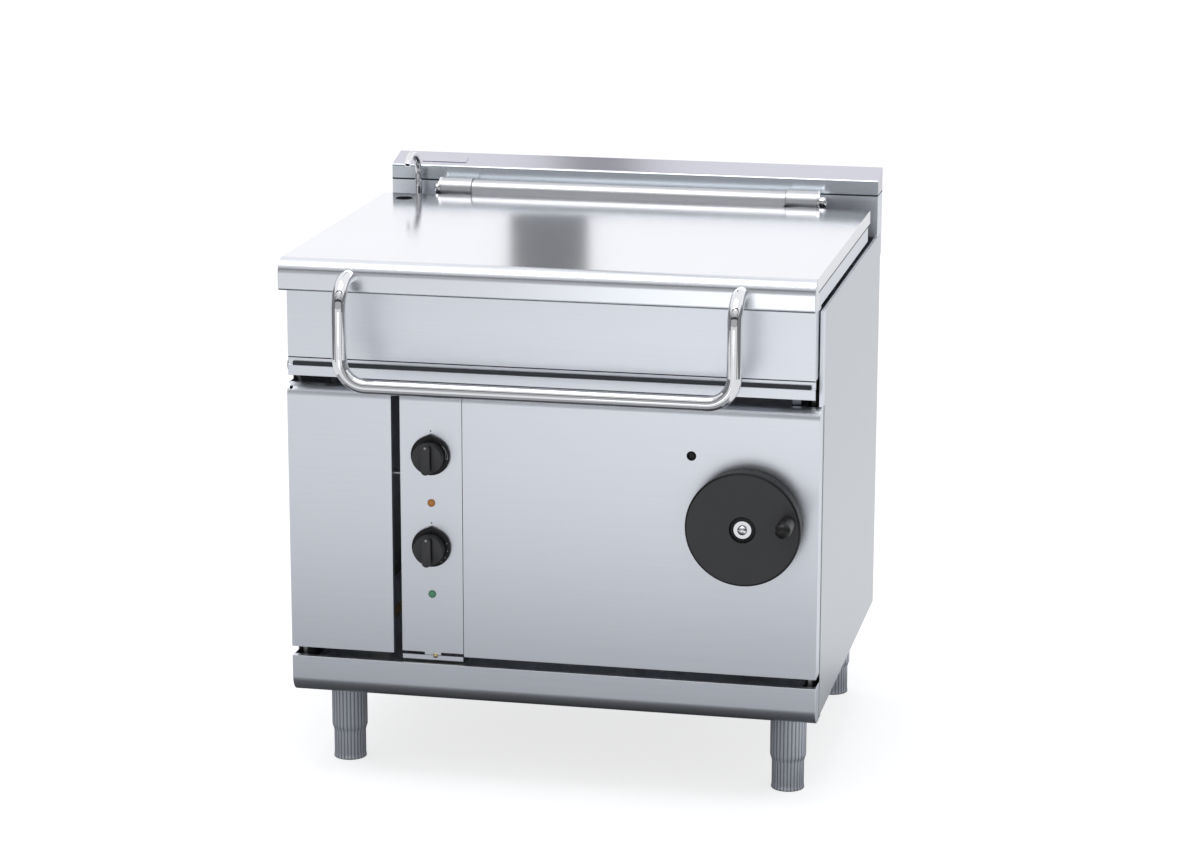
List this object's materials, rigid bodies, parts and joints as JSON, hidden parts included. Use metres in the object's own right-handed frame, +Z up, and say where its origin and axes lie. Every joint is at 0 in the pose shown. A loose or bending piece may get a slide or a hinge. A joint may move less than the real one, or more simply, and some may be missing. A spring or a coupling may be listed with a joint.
{
  "type": "tilting bratt pan",
  "caption": "Free-standing tilting bratt pan: lidded rectangular pan on trunnions in a steel cabinet, tilted by a front handwheel through a worm and toothed sector.",
  "frame": {"origin": "middle of the footprint on the floor, halfway between the lid handle's front and the splashback's back", "axes": "+Z up, +Y from the front to the back, +X to the operator's right"},
  "size_m": [0.894, 0.854, 0.981],
  "materials": {
    "satin_steel": "satin brushed stainless sheet",
    "bright_steel": "polished stainless",
    "fluted_steel": "drawn stainless tube with flutes",
    "zinc_steel": "zinc-plated steel",
    "gear_steel": "machined steel, oiled",
    "bronze": "turned bronze and brass",
    "black_plastic": "matte moulded phenolic",
    "pale_plastic": "moulded insulator",
    "red_plastic": "dipped vinyl",
    "amber_lens": "translucent lens",
    "green_lens": "translucent lens",
    "element_sheath": "oxidised alloy sheath"
  },
  "bodies": {
    "cabinet": {"base_frame": "zinc_steel", "leg_sleeves": "fluted_steel", "base_rail": "satin_steel", "floor_tray": "satin_steel", "side_panel_left": "satin_steel", "side_panel_right": "satin_steel", "back_panel": "satin_steel", "pivot_plates": "zinc_steel", "pivot_bushes": "bronze", "cross_rail": "zinc_steel", "front_panel": "satin_steel", "control_panel": "satin_steel", "splashback": "satin_steel", "splashback_cap": "bright_steel", "name_plate": "bright_steel", "worm_brackets": "zinc_steel", "wheel_bush": "black_plastic", "amber_lamp": "amber_lens", "green_lamp": "green_lens", "thermostat": "pale_plastic", "selector_switch": "pale_plastic", "contactor": "pale_plastic", "terminal_block": "pale_plastic", "cable_gland": "black_plastic", "water_inlet": "bronze", "water_valve": "bronze", "reset_switch": "black_plastic", "door_pins": "zinc_steel", "door_catch": "black_plastic"},
    "foot_front_left": {"foot_front_left": "fluted_steel"},
    "foot_front_right": {"foot_front_right": "fluted_steel"},
    "foot_rear_left": {"foot_rear_left": "fluted_steel"},
    "foot_rear_right": {"foot_rear_right": "fluted_steel"},
    "door": {"door_panel": "satin_steel"},
    "upper_knob": {"upper_knob": "black_plastic"},
    "lower_knob": {"lower_knob": "black_plastic"},
    "reset_button": {"reset_button": "black_plastic"},
    "valve_lever": {"valve_lever": "red_plastic"},
    "pan": {"pan_well": "bright_steel", "pan_casing": "satin_steel", "pan_front": "satin_steel", "pan_band": "satin_steel", "heating_elements": "element_sheath", "trunnion_left": "zinc_steel", "trunnion_right": "zinc_steel", "tilt_sector": "gear_steel", "hinge_blocks": "satin_steel", "hinge_shaft": "zinc_steel", "water_riser": "satin_steel"},
    "lid": {"lid_skin": "bright_steel", "lid_liner": "satin_steel", "lid_handle": "bright_steel", "hinge_tube": "satin_steel", "lid_springs": "zinc_steel"},
    "spout": {"spout": "bright_steel"},
    "worm": {"worm_shaft": "gear_steel"},
    "handwheel": {"wheel_shaft": "gear_steel", "handwheel": "black_plastic", "wheel_fasteners": "zinc_steel"},
    "grip": {"wheel_grip": "black_plastic"}
  },
  "joints": [
    {"name": "foot_front_left_slide", "type": "slide", "parent": "cabinet", "child": "foot_front_left", "axis": [0, 0, 1], "range_m": [-0.02, 0.02]},
    {"name": "foot_front_right_slide", "type": "slide", "parent": "cabinet", "child": "foot_front_right", "axis": [0, 0, 1], "range_m": [-0.02, 0.02]},
    {"name": "foot_rear_left_slide", "type": "slide", "parent": "cabinet", "child": "foot_rear_left", "axis": [0, 0, 1], "range_m": [-0.02, 0.02]},
    {"name": "foot_rear_right_slide", "type": "slide", "parent": "cabinet", "child": "foot_rear_right", "axis": [0, 0, 1], "range_m": [-0.02, 0.02]},
    {"name": "door_hinge", "type": "hinge", "parent": "cabinet", "child": "door", "pos_m": [-0.4395, -0.302, 0.232], "axis": [0, 0, -1], "range_deg": [0, 100]},
    {"name": "upper_knob_turn", "type": "hinge", "parent": "cabinet", "child": "upper_knob", "pos_m": [-0.2005, -0.308, 0.577], "axis": [0, 1, 0], "range_deg": [0, 270]},
    {"name": "lower_knob_turn", "type": "hinge", "parent": "cabinet", "child": "lower_knob", "pos_m": [-0.2005, -0.308, 0.42], "axis": [0, 1, 0], "range_deg": [0, 135]},
    {"name": "reset_press", "type": "slide", "parent": "cabinet", "child": "reset_button", "axis": [0, 1, 0], "range_m": [0, 0.003], "stiffness_N_per_m": 400, "springref_m": -0.001},
    {"name": "valve_lever_turn", "type": "hinge", "parent": "cabinet", "child": "valve_lever", "pos_m": [-0.33, -0.158, 0.228], "axis": [0, 0, 1], "range_deg": [0, 90]},
    {"name": "pan_tilt", "type": "hinge", "parent": "cabinet", "child": "pan", "pos_m": [0, -0.296, 0.718], "axis": [1, 0, 0], "range_deg": [0, 56]},
    {"name": "lid_hinge", "type": "hinge", "parent": "pan", "child": "lid", "pos_m": [0, 0.339, 0.909], "axis": [-1, 0, 0], "range_deg": [0, 80]},
    {"name": "spout_swivel", "type": "hinge", "parent": "pan", "child": "spout", "pos_m": [-0.391, 0.345, 0.905], "axis": [0, 0, -1], "range_deg": [0, 104]},
    {"name": "worm_turn", "type": "hinge", "parent": "cabinet", "child": "worm", "pos_m": [0.40401, -0.1665, 0.718], "axis": [0, 0, 1], "range_deg": [-3584, 0]},
    {"name": "handwheel_turn", "type": "hinge", "parent": "cabinet", "child": "handwheel", "pos_m": [0.32801, -0.1665, 0.491], "axis": [0, 1, 0], "range_deg": [0, 3584]},
    {"name": "grip_spin", "type": "hinge", "parent": "handwheel", "child": "grip", "pos_m": [0.40273, -0.358, 0.50963], "axis": [0, -1, 0], "continuous": true}
  ],
  "couplings": [
    {"joint": "worm_turn", "follows": "pan_tilt", "ratio": -64},
    {"joint": "handwheel_turn", "follows": "pan_tilt", "ratio": 64},
    {"joint": "spout_swivel", "follows": "lid_hinge", "ratio": 1.3}
  ]
}
